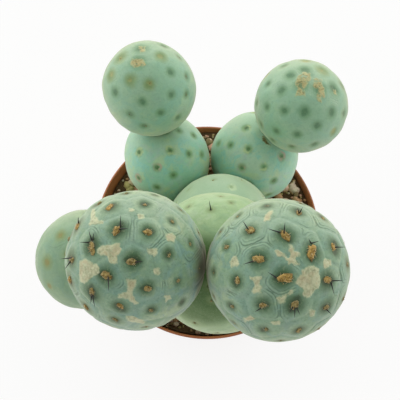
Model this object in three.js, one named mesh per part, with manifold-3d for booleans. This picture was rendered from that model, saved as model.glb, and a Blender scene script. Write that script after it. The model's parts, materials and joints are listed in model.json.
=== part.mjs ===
// A potted Tephrocactus geometricus: ten globe-shaped stem segments that grow out of one another,
// standing in gritty soil in a terracotta-coloured plastic nursery pot.
// Millimetres, +Z up. The origin is the centre of the pot's flat bottom, on the surface it stands on.
// The segments are placed as they grow: the base segment stands in the soil, and every other one
// starts on the segment that carries it.
import * as THREE from "three";
import { ConvexHull } from "three/addons/math/ConvexHull.js";
import { mergeVertices } from "three/addons/utils/BufferGeometryUtils.js";
import Module from "manifold-3d";

const wasm = await Module();
wasm.setup();

// The pot: a common 8.5 cm nursery pot with a collar round its mouth
const POT_HEIGHT = 75;
const RIM_RADIUS = 42.5;
const POT_WALL = 1.2;
const BASE_RADIUS = 30;
const BASE_EDGE = 0.8;
const FLOOR_THICKNESS = 1.8;
const COLLAR_HEIGHT = 12;
const COLLAR_BOTTOM_RADIUS = 40.2;
const NECK_RADIUS = 38.7;
const COLLAR_STEP = 0.6;
const LIP_ROUND = 0.35;
const POT_SIDES = 40;
const DRAIN_HOLES = 6;
const DRAIN_RADIUS = 3.5;
const DRAIN_CIRCLE = 20;
const DRAIN_SIDES = 12;

// The soil: it falls towards the left and the front, and its top is gritty
const SOIL_LEVEL = 70.9;
const SOIL_RISE_X = 0.035;
const SOIL_RISE_Y = 0.06;
const SOIL_SWELL = 0.35;
const SOIL_WAVES = [
  { alongX: 0.33, alongY: 0.29, share: 1 },
  { alongX: 0.71, alongY: -0.83, share: 0.6 },
];
const SOIL_RINGS = [38, 32, 26, 20, 13, 7];
const PEBBLES = 60;
const PEBBLE_SMALL = 1.1;
const PEBBLE_LARGE = 2.0;
const PEBBLE_REACH = 36.5;
const PEBBLE_FLATTENING = 0.75;
const PEBBLE_RISE = 0.1;
const PEBBLE_SEED = 41;

// Clearance between pieces that touch
const GAP = 0.3;

// The areoles: woolly cushions on the tubercles, and the spines that grow from them
const GOLDEN_ANGLE = Math.PI * (3 - Math.sqrt(5));
const AREOLE_RADIUS = 1.4;
const AREOLE_SIDES = 5;
const NEIGHBOUR_CLEARANCE = 1.6;
const SPINE_RADIUS = 0.38;
const SPINE_ROOT = 1.2;
const SPINE_SHORT = 2.8;
const SPINE_LONG = 5.2;
const SPINE_CLEARANCE = 0.8;
const SPINE_LEAN = [0.6, 1.5];
const SPINE_SWAYS = [
  [-0.5, 0],
  [0.7, 1.2],
];

const CUTTER_SIDES = 36;

// One entry for each stem segment. centre is the middle of the globe, axis is the way it grows,
// radius is its half width, top and base are its half lengths above and below the middle.
// areoles, first, turn, hand and crowd set the spiral in which its areoles stand, groove is the
// depth between the tubercles, and lift is how far the areole cushions stand out.
const STEMS = [
  {
    name: "stem_base",
    carrier: null,
    centre: [4.6, -6.9, 91.2],
    axis: [0.02, 0.14, 0.99],
    radius: 19.7,
    top: 25.2,
    base: 25.2,
    areoles: 62,
    first: 0.4,
    turn: 40,
    hand: 1,
    crowd: 1,
    groove: 0.6,
    lift: 0.3,
    spines: 4,
    colour: 0x9aa87e,
  },
  {
    name: "stem_middle",
    carrier: "stem_base",
    centre: [3.2, -27.8, 127.7],
    axis: [-0.32, -0.56, 0.77],
    radius: 21.9,
    top: 20.4,
    base: 20.4,
    areoles: 60,
    first: 0.4,
    turn: 10,
    hand: 1,
    crowd: 1,
    groove: 0.6,
    lift: 0.35,
    spines: 6,
    colour: 0x7f8f6a,
  },
  {
    name: "stem_top_left",
    carrier: "stem_middle",
    centre: [-20.3, -35.1, 158.2],
    axis: [-0.55, -0.15, 0.82],
    radius: 19.1,
    top: 19.5,
    base: 19.5,
    areoles: 69,
    first: 0.3,
    turn: 88.5,
    hand: -1,
    crowd: 0.98,
    groove: 0.6,
    lift: 0.55,
    spines: 26,
    colour: 0x7c9389,
  },
  {
    name: "stem_top_right",
    carrier: "stem_middle",
    centre: [18.1, -38.6, 161.8],
    axis: [0.3, -0.2, 0.93],
    radius: 19.2,
    top: 18.7,
    base: 18.7,
    areoles: 70,
    first: 0.45,
    turn: 71,
    hand: 1,
    crowd: 0.93,
    groove: 0.6,
    lift: 0.55,
    spines: 26,
    colour: 0x7f968c,
  },
  {
    name: "stem_rear_left_lower",
    carrier: "stem_base",
    centre: [-14.8, 21.4, 91.1],
    axis: [-0.4, 0.92, 0.03],
    radius: 15.2,
    top: 17.7,
    base: 15.7,
    areoles: 58,
    first: 0.4,
    turn: 120,
    hand: 1,
    crowd: 1,
    groove: 0.5,
    lift: 0.3,
    spines: 2,
    colour: 0x86a07c,
  },
  {
    name: "stem_rear_left_upper",
    carrier: "stem_rear_left_lower",
    centre: [-20.3, 37.0, 118.0],
    axis: [-0.39, 0.29, 0.87],
    radius: 15.8,
    top: 16.8,
    base: 16.8,
    areoles: 72,
    first: 0.1,
    turn: 103,
    hand: -1,
    crowd: 0.9,
    groove: 0.3,
    lift: 0.25,
    spines: 0,
    colour: 0x7d9c90,
  },
  {
    name: "stem_rear_right_lower",
    carrier: "stem_base",
    centre: [17.6, 24.0, 87.0],
    axis: [0.51, 0.85, 0.14],
    radius: 15.9,
    top: 17.8,
    base: 15.4,
    areoles: 58,
    first: 0.4,
    turn: 300,
    hand: -1,
    crowd: 1,
    groove: 0.5,
    lift: 0.3,
    spines: 2,
    colour: 0x88a384,
  },
  {
    name: "stem_rear_right_upper",
    carrier: "stem_rear_right_lower",
    centre: [32.6, 32.9, 112.8],
    axis: [0.31, 0.08, 0.95],
    radius: 16.2,
    top: 15.8,
    base: 15.8,
    areoles: 63,
    first: 0.3,
    turn: 260,
    hand: -1,
    crowd: 1,
    groove: 0.3,
    lift: 0.25,
    spines: 0,
    colour: 0x7f9f92,
  },
  {
    name: "stem_side_lower",
    carrier: "stem_base",
    centre: [-30.0, -8.0, 88.5],
    axis: [-0.95, -0.1, 0.2],
    radius: 15.9,
    top: 17.5,
    base: 15.5,
    areoles: 58,
    first: 0.4,
    turn: 20,
    hand: 1,
    crowd: 1,
    groove: 0.5,
    lift: 0.3,
    spines: 0,
    colour: 0x84997a,
  },
  {
    name: "stem_side_upper",
    carrier: "stem_side_lower",
    centre: [-40.5, -22.7, 113.3],
    axis: [-0.35, -0.5, 0.79],
    radius: 16.0,
    top: 15.8,
    base: 15.8,
    areoles: 58,
    first: 0.4,
    turn: 150,
    hand: 1,
    crowd: 1,
    groove: 0.35,
    lift: 0.4,
    spines: 6,
    colour: 0x7b9284,
  },
];

const POT_COLOUR = 0x8a4f3c;
const SOIL_COLOUR = 0x3f322b;

// A repeatable stream of numbers from 0 to 1
function randomStream(seed) {
  let state = seed >>> 0;
  return () => {
    state = (state + 0x6d2b79f5) >>> 0;
    let mixed = Math.imul(state ^ (state >>> 15), 1 | state);
    mixed = (mixed + Math.imul(mixed ^ (mixed >>> 7), 61 | mixed)) ^ mixed;
    return ((mixed ^ (mixed >>> 14)) >>> 0) / 4294967296;
  };
}

// A closed three.js geometry as a solid that can be joined and cut
function toSolid(geometry) {
  const bare = geometry.clone();
  for (const attribute of Object.keys(bare.attributes)) {
    if (attribute !== "position") bare.deleteAttribute(attribute);
  }
  const merged = mergeVertices(bare, 1e-4);
  const vertProperties = new Float32Array(merged.attributes.position.array);
  const triVerts = new Uint32Array(merged.index.array);
  return new wasm.Manifold(new wasm.Mesh({ numProp: 3, vertProperties, triVerts }));
}

// A solid back as a three.js geometry
function toGeometry(solid) {
  const mesh = solid.getMesh();
  const geometry = new THREE.BufferGeometry();
  geometry.setAttribute("position", new THREE.BufferAttribute(new Float32Array(mesh.vertProperties), 3));
  geometry.setIndex(new THREE.BufferAttribute(new Uint32Array(mesh.triVerts), 1));
  geometry.computeVertexNormals();
  return geometry;
}

// The turn that takes +Z to a segment's axis
function stemTurn(stem) {
  const axis = new THREE.Vector3(...stem.axis).normalize();
  return new THREE.Quaternion().setFromUnitVectors(new THREE.Vector3(0, 0, 1), axis);
}

// A direction from a segment's middle, in the segment's own frame, as a point of its globe.
// extra is the distance outside the globe.
function globePoint(stem, direction, extra) {
  const length = direction.z > 0 ? stem.top : stem.base;
  const point = new THREE.Vector3(
    direction.x * stem.radius,
    direction.y * stem.radius,
    direction.z * length,
  );
  return point.multiplyScalar(1 + extra / point.length());
}

function placed(stem, localPoint) {
  return localPoint.clone().applyQuaternion(stemTurn(stem)).add(new THREE.Vector3(...stem.centre));
}

// How far a point lies outside a segment's globe, below 0 inside it
function distanceOutside(stem, point) {
  const local = point.clone().sub(new THREE.Vector3(...stem.centre));
  local.applyQuaternion(stemTurn(stem).invert());
  const length = local.z > 0 ? stem.top : stem.base;
  const share = Math.hypot(local.x / stem.radius, local.y / stem.radius, local.z / length);
  return (local.length() * (share - 1)) / share;
}

function soilHeight(x, y) {
  let swell = 0;
  for (const wave of SOIL_WAVES) swell += wave.share * Math.sin(wave.alongX * x + wave.alongY * y);
  return SOIL_LEVEL + SOIL_RISE_X * x + SOIL_RISE_Y * y + SOIL_SWELL * swell;
}

// The pot's inner wall radius at a height
function innerRadius(z) {
  const collarBottom = POT_HEIGHT - COLLAR_HEIGHT;
  if (z > collarBottom) {
    const share = (z - collarBottom) / COLLAR_HEIGHT;
    return THREE.MathUtils.lerp(COLLAR_BOTTOM_RADIUS, RIM_RADIUS, share) - POT_WALL;
  }
  return THREE.MathUtils.lerp(BASE_RADIUS, NECK_RADIUS, z / collarBottom) - POT_WALL;
}

function lathe(profile) {
  const points = profile.map(([radius, z]) => new THREE.Vector2(radius, z));
  const geometry = new THREE.LatheGeometry(points, POT_SIDES);
  geometry.rotateX(Math.PI / 2);
  return geometry;
}

function makePot() {
  const collarBottom = POT_HEIGHT - COLLAR_HEIGHT;
  const innerStep = collarBottom + COLLAR_STEP + POT_WALL / 2;
  const profile = [
    [0, 0],
    [BASE_RADIUS - BASE_EDGE, 0],
    [BASE_RADIUS, BASE_EDGE],
    [NECK_RADIUS, collarBottom],
    [COLLAR_BOTTOM_RADIUS, collarBottom + COLLAR_STEP],
    [RIM_RADIUS, POT_HEIGHT - LIP_ROUND],
    [RIM_RADIUS - LIP_ROUND, POT_HEIGHT],
    [RIM_RADIUS - POT_WALL + LIP_ROUND, POT_HEIGHT],
    [innerRadius(POT_HEIGHT - LIP_ROUND), POT_HEIGHT - LIP_ROUND],
    [innerRadius(innerStep), innerStep],
    [innerRadius(collarBottom), collarBottom],
    [innerRadius(FLOOR_THICKNESS), FLOOR_THICKNESS],
    [0, FLOOR_THICKNESS],
  ];
  let pot = toSolid(lathe(profile));
  for (let i = 0; i < DRAIN_HOLES; i += 1) {
    const angle = (i * 2 * Math.PI) / DRAIN_HOLES;
    const drill = new THREE.CylinderGeometry(DRAIN_RADIUS, DRAIN_RADIUS, 4 * FLOOR_THICKNESS, DRAIN_SIDES);
    drill.rotateX(Math.PI / 2);
    drill.translate(DRAIN_CIRCLE * Math.cos(angle), DRAIN_CIRCLE * Math.sin(angle), 0);
    pot = pot.subtract(toSolid(drill));
  }
  return pot;
}

// A segment's plain globe, larger by extra: it cuts the seat of what grows from it
function plainGlobe(stem, extra) {
  const geometry = new THREE.SphereGeometry(1, CUTTER_SIDES, CUTTER_SIDES / 2);
  const position = geometry.attributes.position;
  const direction = new THREE.Vector3();
  for (let i = 0; i < position.count; i += 1) {
    direction.fromBufferAttribute(position, i);
    const point = placed(stem, globePoint(stem, direction, extra));
    position.setXYZ(i, point.x, point.y, point.z);
  }
  return toSolid(geometry);
}

// The soil body, its top raised by a formula, with pebbles fused into it
function makeSoil() {
  const collarBottom = POT_HEIGHT - COLLAR_HEIGHT;
  const innerStep = collarBottom + COLLAR_STEP + POT_WALL / 2;
  const edge = innerRadius(SOIL_LEVEL) - GAP;
  const profile = [
    [0, FLOOR_THICKNESS + GAP],
    [innerRadius(FLOOR_THICKNESS) - GAP, FLOOR_THICKNESS + GAP],
    [innerRadius(collarBottom) - GAP, collarBottom + GAP],
    [innerRadius(innerStep) - GAP, innerStep + GAP],
    [edge, SOIL_LEVEL],
    ...SOIL_RINGS.map((radius) => [radius, SOIL_LEVEL]),
    [0, SOIL_LEVEL],
  ];
  const geometry = lathe(profile);
  const position = geometry.attributes.position;
  for (let i = 0; i < position.count; i += 1) {
    if (Math.abs(position.getZ(i) - SOIL_LEVEL) > 1e-3) continue;
    const x = position.getX(i);
    const y = position.getY(i);
    const z = soilHeight(x, y);
    const atEdge = Math.hypot(x, y) > edge - 0.01;
    const spread = atEdge ? (innerRadius(z) - GAP) / edge : 1;
    position.setXYZ(i, x * spread, y * spread, z);
  }
  let soil = toSolid(geometry);
  const random = randomStream(PEBBLE_SEED);
  for (let i = 0; i < PEBBLES; i += 1) {
    const reach = PEBBLE_REACH * Math.sqrt((i + 0.5) / PEBBLES);
    const angle = i * GOLDEN_ANGLE + random() / 2;
    const size = THREE.MathUtils.lerp(PEBBLE_SMALL, PEBBLE_LARGE, random());
    const pebble = new THREE.IcosahedronGeometry(size, 0);
    pebble.rotateX(random() * Math.PI);
    pebble.rotateZ(random() * Math.PI);
    pebble.scale(1, 1, PEBBLE_FLATTENING);
    const x = reach * Math.cos(angle);
    const y = reach * Math.sin(angle);
    const centre = new THREE.Vector3(x, y, soilHeight(x, y) + PEBBLE_RISE * size);
    const clear = STEMS.every((stem) => distanceOutside(stem, centre) > size + 2 * GAP);
    if (!clear) continue;
    pebble.translate(centre.x, centre.y, centre.z);
    soil = soil.add(toSolid(pebble));
  }
  for (const stem of STEMS) soil = soil.subtract(plainGlobe(stem, GAP));
  return soil;
}

// The directions of a segment's areoles, in a spiral from its tip down
function areoleDirections(stem) {
  const directions = [];
  for (let i = 0; i < stem.areoles; i += 1) {
    const share = (i + stem.first) / stem.areoles;
    const z = 1 - 2 * share ** stem.crowd;
    const ring = Math.sqrt(Math.max(0, 1 - z * z));
    const angle = THREE.MathUtils.degToRad(stem.turn) + stem.hand * GOLDEN_ANGLE * i;
    directions.push(new THREE.Vector3(ring * Math.cos(angle), ring * Math.sin(angle), z));
  }
  return directions;
}

function hullFaces(points) {
  const hull = new ConvexHull().setFromPoints(points);
  return hull.faces.map((face) => {
    const corners = [];
    let edge = face.edge;
    do {
      corners.push(edge.head().point);
      edge = edge.next;
    } while (edge !== face.edge);
    return { corners, normal: face.normal };
  });
}

// True where an areole would be pressed against another segment or buried in the soil
function isCovered(stem, direction) {
  const point = placed(stem, globePoint(stem, direction, 0));
  const overPot = Math.hypot(point.x, point.y) < RIM_RADIUS;
  if (overPot && point.z < soilHeight(point.x, point.y) + NEIGHBOUR_CLEARANCE) return true;
  return STEMS.some((other) => other !== stem && distanceOutside(other, point) < NEIGHBOUR_CLEARANCE);
}

// The globe with its tubercles: each areole is a low cushion in the middle of its tubercle, and
// the corners where three tubercles meet lie in the grooves
function tubercledGlobe(stem) {
  const areoles = areoleDirections(stem);
  const lifts = new Map();
  for (const areole of areoles) {
    lifts.set(areole, isCovered(stem, areole) ? 0 : stem.lift);
    const side = new THREE.Vector3(0, 0, 1).cross(areole).normalize();
    const across = areole.clone().cross(side);
    const spread = AREOLE_RADIUS / stem.radius;
    for (let k = 0; k < AREOLE_SIDES; k += 1) {
      const angle = (k * 2 * Math.PI) / AREOLE_SIDES;
      const point = areole.clone();
      point.addScaledVector(side, spread * Math.cos(angle));
      point.addScaledVector(across, spread * Math.sin(angle));
      lifts.set(point.normalize(), 0);
    }
  }
  for (const { normal } of hullFaces(areoles)) lifts.set(normal.clone().normalize(), -stem.groove);
  const points = [...lifts.keys()];
  const order = new Map(points.map((point, index) => [point, index]));
  const vertices = points.flatMap((point) => {
    const local = globePoint(stem, point, lifts.get(point));
    return placed(stem, local).toArray();
  });
  const triangles = hullFaces(points).flatMap(({ corners }) => corners.map((corner) => order.get(corner)));
  const geometry = new THREE.BufferGeometry();
  geometry.setAttribute("position", new THREE.Float32BufferAttribute(vertices, 3));
  geometry.setIndex(triangles);
  return { areoles, solid: toSolid(geometry) };
}

// One spine, a slim three-sided cone rooted in its areole
function spineSolid(root, direction, length) {
  const spine = new THREE.ConeGeometry(SPINE_RADIUS, length + SPINE_ROOT, 3);
  spine.translate(0, (length + SPINE_ROOT) / 2 - SPINE_ROOT, 0);
  spine.applyQuaternion(new THREE.Quaternion().setFromUnitVectors(new THREE.Vector3(0, 1, 0), direction));
  spine.translate(root.x, root.y, root.z);
  return toSolid(spine);
}

function isClear(stem, root, direction, length) {
  return [0.3, 0.65, 1].every((share) => {
    const point = root.clone().addScaledVector(direction, share * length);
    return STEMS.every((other) => other === stem || distanceOutside(other, point) > SPINE_CLEARANCE);
  });
}

// Spines stand on the areoles nearest the tip, one or two on each, and lean away from the tip
function addSpines(stem, solid, areoles) {
  const random = randomStream(stem.areoles * 31 + stem.turn);
  let spined = solid;
  let count = 0;
  for (let i = 1; i < areoles.length && count < stem.spines; i += 1) {
    const areole = areoles[i];
    if (isCovered(stem, areole)) continue;
    const root = placed(stem, globePoint(stem, areole, 0));
    const outward = areole.clone().applyQuaternion(stemTurn(stem));
    const tip = new THREE.Vector3(...stem.axis).normalize();
    const away = outward.clone().multiplyScalar(outward.dot(tip)).sub(tip).normalize();
    const side = outward.clone().cross(away);
    const sways = i % 2 === 0 ? SPINE_SWAYS : SPINE_SWAYS.slice(0, 1);
    for (const range of sways) {
      if (count === stem.spines) break;
      const lean = THREE.MathUtils.lerp(...SPINE_LEAN, random());
      const sway = THREE.MathUtils.lerp(...range, random());
      const direction = outward.clone().addScaledVector(away, lean).addScaledVector(side, sway).normalize();
      const length = THREE.MathUtils.lerp(SPINE_SHORT, SPINE_LONG, random());
      if (!isClear(stem, root, direction, length)) continue;
      spined = spined.add(spineSolid(root, direction, length));
      count += 1;
    }
  }
  return spined;
}

function makeStem(stem) {
  const { areoles, solid } = tubercledGlobe(stem);
  const carrier = STEMS.find((other) => other.name === stem.carrier);
  const seated = carrier ? solid.subtract(plainGlobe(carrier, GAP)) : solid;
  return addSpines(stem, seated, areoles);
}

function makeMesh(name, solid, colour, roughness) {
  const material = new THREE.MeshStandardMaterial({ color: colour, roughness, metalness: 0 });
  material.flatShading = true;
  const mesh = new THREE.Mesh(toGeometry(solid), material);
  mesh.name = name;
  return mesh;
}

const plant = new THREE.Group();
plant.add(makeMesh("pot", makePot(), POT_COLOUR, 0.6));
plant.add(makeMesh("soil", makeSoil(), SOIL_COLOUR, 0.95));
for (const stem of STEMS) plant.add(makeMesh(stem.name, makeStem(stem), stem.colour, 0.55));

export default plant;
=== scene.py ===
import json
import math

import bmesh
import bpy
import numpy as np
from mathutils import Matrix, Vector

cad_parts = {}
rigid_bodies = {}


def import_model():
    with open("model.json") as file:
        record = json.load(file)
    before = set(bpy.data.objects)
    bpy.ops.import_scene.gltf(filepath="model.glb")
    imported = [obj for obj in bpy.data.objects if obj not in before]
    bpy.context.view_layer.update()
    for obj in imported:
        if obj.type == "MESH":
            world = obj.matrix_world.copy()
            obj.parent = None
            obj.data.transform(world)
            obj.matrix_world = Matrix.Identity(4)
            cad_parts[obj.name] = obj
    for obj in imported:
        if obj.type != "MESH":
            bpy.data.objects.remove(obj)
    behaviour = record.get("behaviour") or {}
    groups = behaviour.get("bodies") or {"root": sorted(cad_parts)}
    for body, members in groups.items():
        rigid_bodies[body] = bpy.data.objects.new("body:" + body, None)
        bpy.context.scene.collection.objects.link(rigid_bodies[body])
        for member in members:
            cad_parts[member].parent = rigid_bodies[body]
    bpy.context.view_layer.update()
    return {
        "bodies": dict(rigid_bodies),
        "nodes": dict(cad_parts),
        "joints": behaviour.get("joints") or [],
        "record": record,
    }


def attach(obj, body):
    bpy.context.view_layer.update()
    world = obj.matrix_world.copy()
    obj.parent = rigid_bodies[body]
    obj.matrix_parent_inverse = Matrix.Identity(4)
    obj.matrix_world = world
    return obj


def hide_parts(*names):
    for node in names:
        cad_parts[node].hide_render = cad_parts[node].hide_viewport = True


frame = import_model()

# A potted Tephrocactus geometricus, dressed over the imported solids. Lengths are in millimetres here
# and are turned into metres when a mesh is made.
METRE = 0.001

# The photograph's camera: a square frame of 400 pixels, looking down on the pot
FRAME_PIXELS = 400
FOCAL_PIXELS = 850
SENSOR = 36
CAMERA_PLACE = np.array([-2.7, -96.4, 383.1])
CAMERA_PITCH = 70.74

# The pot, as in the part's source but for a foot 0.8 mm narrower all round
POT_HEIGHT = 75
RIM_RADIUS = 42.5
POT_WALL = 1.2
BASE_RADIUS = 29.2
FLOOR_THICKNESS = 1.8
COLLAR_HEIGHT = 12
COLLAR_BOTTOM = POT_HEIGHT - COLLAR_HEIGHT
COLLAR_BOTTOM_RADIUS = 40.2
NECK_RADIUS = 38.7
COLLAR_STEP = 0.6
LIP_THICKNESS = 0.9
POT_SIDES = 160
DRAIN_HOLES = 6
DRAIN_RADIUS = 3.5
DRAIN_CIRCLE = 20

# The soil: it falls towards the left and the front
SOIL_LEVEL = 70.9
SOIL_RISE_X = 0.035
SOIL_RISE_Y = 0.06
SOIL_EDGE_GAP = 0.3

GOLDEN_ANGLE = math.pi * (3 - math.sqrt(5))
TINY = 1e-6
# Where the seeds start for each kind of thing on the segments
SEEDS = {"skin": 100, "scars": 300, "wool": 700, "spines": 900}


def segment(look, slot, centre, axis, radius, top, base, **settings):
    """A stem segment. centre is the middle of its globe, axis the way it grows, radius its half width,
    top and base its half lengths. areoles, first, turn, hand and crowd set the spiral of its areoles,
    detail how fine its mesh is, and swell how far its skin is drawn outside the globe."""
    plain = {"areoles": 58, "first": 0.4, "hand": 1, "crowd": 1, "detail": 6, "swell": 0.12}
    place = {"centre": np.array(centre), "axis": axis, "radius": radius, "top": top, "base": base}
    return {"look": look, "slot": slot, **place, **plain, **settings}


# The stem segments, with the sizes of the part's source and its places to 0.5 mm
STEMS = {
    "stem_base": segment(
        "pale", "stem_pale", (4.6, -6.9, 91.2), (0.02, 0.14, 0.99), 19.7, 25.2, 25.2,
        areoles=62, turn=40,
    ),
    "stem_middle": segment(
        "olive", "stem_olive", (3.2, -27.8, 127.7), (-0.32, -0.56, 0.77), 21.9, 20.4, 20.4,
        areoles=60, turn=10, detail=7,
    ),
    "stem_top_left": segment(
        "weathered", "stem_weathered", (-20.15, -35.3, 158.2), (-0.55, -0.15, 0.82), 19.1, 19.5, 19.5,
        areoles=69, first=0.3, turn=88.5, hand=-1, crowd=0.98, detail=7,
    ),
    "stem_top_right": segment(
        "weathered", "stem_weathered", (18.1, -38.9, 161.8), (0.3, -0.2, 0.93), 19.2, 18.7, 18.7,
        areoles=70, first=0.45, turn=71, crowd=0.93, detail=7,
    ),
    "stem_rear_left_lower": segment(
        "ringed", "stem_pale", (-14.75, 21.4, 91.1), (-0.4, 0.92, 0.03), 15.2, 17.7, 15.7,
        turn=120, swell=0.35,
    ),
    "stem_rear_left_upper": segment(
        "dimpled", "stem_blue", (-20.2, 37.0, 118.0), (-0.39, 0.29, 0.87), 15.8, 16.8, 16.8,
        areoles=72, first=0.1, turn=103, hand=-1, crowd=0.9, detail=7,
    ),
    "stem_rear_right_lower": segment(
        "ringed", "stem_pale", (17.35, 23.6, 87.0), (0.51, 0.85, 0.14), 15.9, 17.8, 15.4,
        turn=300, hand=-1, swell=0.42,
    ),
    "stem_rear_right_upper": segment(
        "dimpled", "stem_blue", (32.7, 32.8, 112.8), (0.31, 0.08, 0.95), 16.2, 15.8, 15.8,
        areoles=63, first=0.3, turn=260, hand=-1, detail=7, swell=0.22,
    ),
    "stem_side_lower": segment(
        "ringed", "stem_pale", (-30.0, -8.0, 88.5), (-0.95, -0.1, 0.2), 15.9, 17.5, 15.5, turn=20,
    ),
    "stem_side_upper": segment(
        "haloed", "stem_weathered", (-40.25, -22.8, 113.3), (-0.35, -0.5, 0.79), 16.0, 15.8, 15.8,
        turn=150, swell=0.32,
    ),
}

# How each kind of skin is formed. fall is the drop towards the groove between tubercles, seam the
# depth of the crease in it, pit and pit_reach the dimple that an areole sits in. halo is the radius
# of the soft dark patch round an areole, on a young and an old one, and lens the half length and
# half width of its pointed dark heart. An areole is young up to the first of the ages, in degrees
# from the tip, and old from the second.
LOOKS = {
    "weathered": {
        "fall": 0.3, "seam": 0.04, "pit": 0.3, "pit_reach": 2.4, "ages": (30, 78),
        "halo": (2.7, 1.35), "lens": ((3.0, 1.6), (1.0, 0.8)),
    },
    "haloed": {
        "fall": 0.12, "seam": 0.02, "pit": 0.15, "pit_reach": 2.4, "ages": (30, 80),
        "halo": (2.3, 1.8), "lens": ((1.5, 1.2), (0.9, 0.7)),
    },
    "dimpled": {
        "fall": 0.05, "seam": 0.0, "pit": 0.34, "pit_reach": 1.9, "ages": (20, 60),
        "halo": (2.7, 1.7), "lens": ((2.3, 1.5), (1.2, 1.0)),
    },
    "ringed": {
        "fall": 0.05, "seam": 0.0, "pit": 0.2, "pit_reach": 1.6, "ages": (30, 100),
        "halo": (1.9, 1.6), "lens": ((1.1, 0.9), (1.0, 0.8)),
    },
    "pale": {
        "fall": 0.08, "seam": 0.0, "pit": 0.18, "pit_reach": 1.6, "ages": (30, 100),
        "halo": (1.2, 1.0), "lens": ((0.7, 0.55), (0.6, 0.45)),
    },
    "olive": {
        "fall": 0.1, "seam": 0.0, "pit": 0.2, "pit_reach": 1.7, "ages": (30, 100),
        "halo": (1.5, 1.2), "lens": ((0.9, 0.7), (0.7, 0.5)),
    },
}


def seed_of(kind, name):
    return SEEDS[kind] + list(STEMS).index(name)


def areole_age(stem, areoles):
    """From 0 for a young areole, near the segment's tip, to 1 for an old one."""
    down = np.degrees(np.arccos(np.clip(areoles[:, 2], -1, 1)))
    low, high = LOOKS[stem["look"]]["ages"]
    return np.clip((down - low) / (high - low), 0, 1)


# Areoles as the photograph shows them, in its pixels: the spiral's nearest areole moves there. A
# third number is the turn of its wool in the picture, in degrees from level, and a fourth the wool's
# length in millimetres.
AREOLES_SEEN = {
    "stem_top_left": [
        (148, 232, 0, 2.8), (116, 231, 65, 3.2), (91.5, 248, 95, 4.1), (71, 260, 0, 3), (132, 262, -5, 3),
        (106, 275.5, -20, 3.6), (91.5, 292, 90, 2.8), (148, 289, 0, 2.2),
        (120, 306), (169, 255, 60, 1.5), (179, 281, 0, 1), (191, 244, 0, 0.9), (173, 221, 0, 1.1),
        (109, 207), (145, 204, 0, 1), (77, 226), (151, 311), (183, 301), (115, 320),
    ],
    "stem_top_right": [
        (250, 230, -20, 3.2), (285.5, 235, -50, 3.9), (299, 212, 90, 2.4), (226, 247, 0, 2.1),
        (258.5, 259, -5, 3.4), (311.5, 251.5, 82, 5.1), (334, 247, 90, 2.8), (285, 279, 2, 4.8),
        (237, 281, 90, 2.2), (328, 280, 0, 3), (263, 306, 10, 2.6), (295, 305, 60, 3), (327, 308, 0, 2.4),
        (232, 307), (266, 330), (213, 273), (234, 324), (267, 206), (299, 331), (215, 235), (237, 216),
    ],
    "stem_rear_left_upper": [
        (141, 101), (161, 113), (171, 94), (171, 73), (160, 56), (150, 83), (130, 80), (116, 93),
        (129, 115), (146, 127), (120, 58), (138, 62), (141, 49), (111, 74), (187, 95), (187, 76),
        (179, 116), (180, 57), (164, 46),
    ],
    "stem_rear_right_upper": [
        (284, 112), (304, 112), (317, 126), (297, 134), (277, 131), (267, 107), (281, 90), (290, 76),
        (304, 70), (334, 90), (331, 112), (261, 124), (301, 86), (319, 88), (334, 131), (315, 144),
        (292, 147), (273, 140), (268, 85), (257, 102), (344, 113), (322, 70),
    ],
    "stem_rear_left_lower": [
        (170, 150), (157, 167), (189, 153), (140, 152), (139, 178), (201, 154), (178, 131), (166, 130),
        (157, 188), (173, 175), (193, 136),
    ],
    "stem_rear_right_lower": [
        (247, 129), (248, 149), (231, 145), (219, 144), (263, 166), (242, 168), (281, 156), (274, 179),
        (268, 194), (225, 163), (232, 126),
    ],
    "stem_side_upper": [(60, 236), (47, 263), (50, 286)],
    "stem_middle": [(211, 209), (221, 196), (188, 207), (211, 301)],
    "stem_base": [(213, 180), (232, 187), (252, 190), (189, 189)],
}
# The spiral's areole is moved by less than this
NUDGE_REACH = 5.5
# Those of them on the segments at the back whose heart has dried pale or pinkish
PALE_HEARTS = (
    (130, 80), (150, 83), (160, 56), (120, 58), (111, 74), (334, 131), (322, 70),
    (170, 150), (140, 152), (247, 129), (263, 166), (248, 149), (232, 187), (50, 286),
)
PINK_HEARTS = ((157, 167), (139, 178), (242, 168), (281, 156), (252, 190))
# Segments that show no areole to the camera besides those
SPARSE = (
    "stem_side_upper", "stem_rear_left_upper", "stem_rear_left_lower", "stem_rear_right_lower",
)


def unit(vector):
    vector = np.asarray(vector, float)
    return vector / np.linalg.norm(vector, axis=-1, keepdims=True)


def stem_turn(stem):
    """The matrix that takes the segment's own frame, +Z to its tip, to the part's frame."""
    turn = Vector((0, 0, 1)).rotation_difference(Vector(stem["axis"]).normalized())
    return np.array(turn.to_matrix())


def to_part(stem, points):
    return points @ stem_turn(stem).T + stem["centre"]


def to_stem(stem, points):
    return (points - stem["centre"]) @ stem_turn(stem)


def half_sizes(stem, points):
    """The half sizes of a segment's globe on the side of each point of its own frame."""
    length = np.where(points[:, 2] > 0, stem["top"], stem["base"])
    return np.column_stack((np.full((len(points), 2), stem["radius"]), length))


def globe_points(stem, directions, extra=0.0):
    """Points of a segment's globe in its own frame, extra millimetres outside it."""
    points = directions * half_sizes(stem, directions)
    reach = np.linalg.norm(points, axis=1, keepdims=True)
    return points * (1 + np.reshape(extra, (-1, 1)) / reach)


def globe_directions(stem, points):
    """The directions, as globe_points takes them, of points in the segment's own frame."""
    return unit(points / half_sizes(stem, points))


def outside(stem, points):
    """How far points of the part's frame lie outside a segment's globe, below 0 inside it."""
    local = to_stem(stem, points)
    share = np.linalg.norm(local / half_sizes(stem, local), axis=1)
    return np.linalg.norm(local, axis=1) * (share - 1) / share


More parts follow.
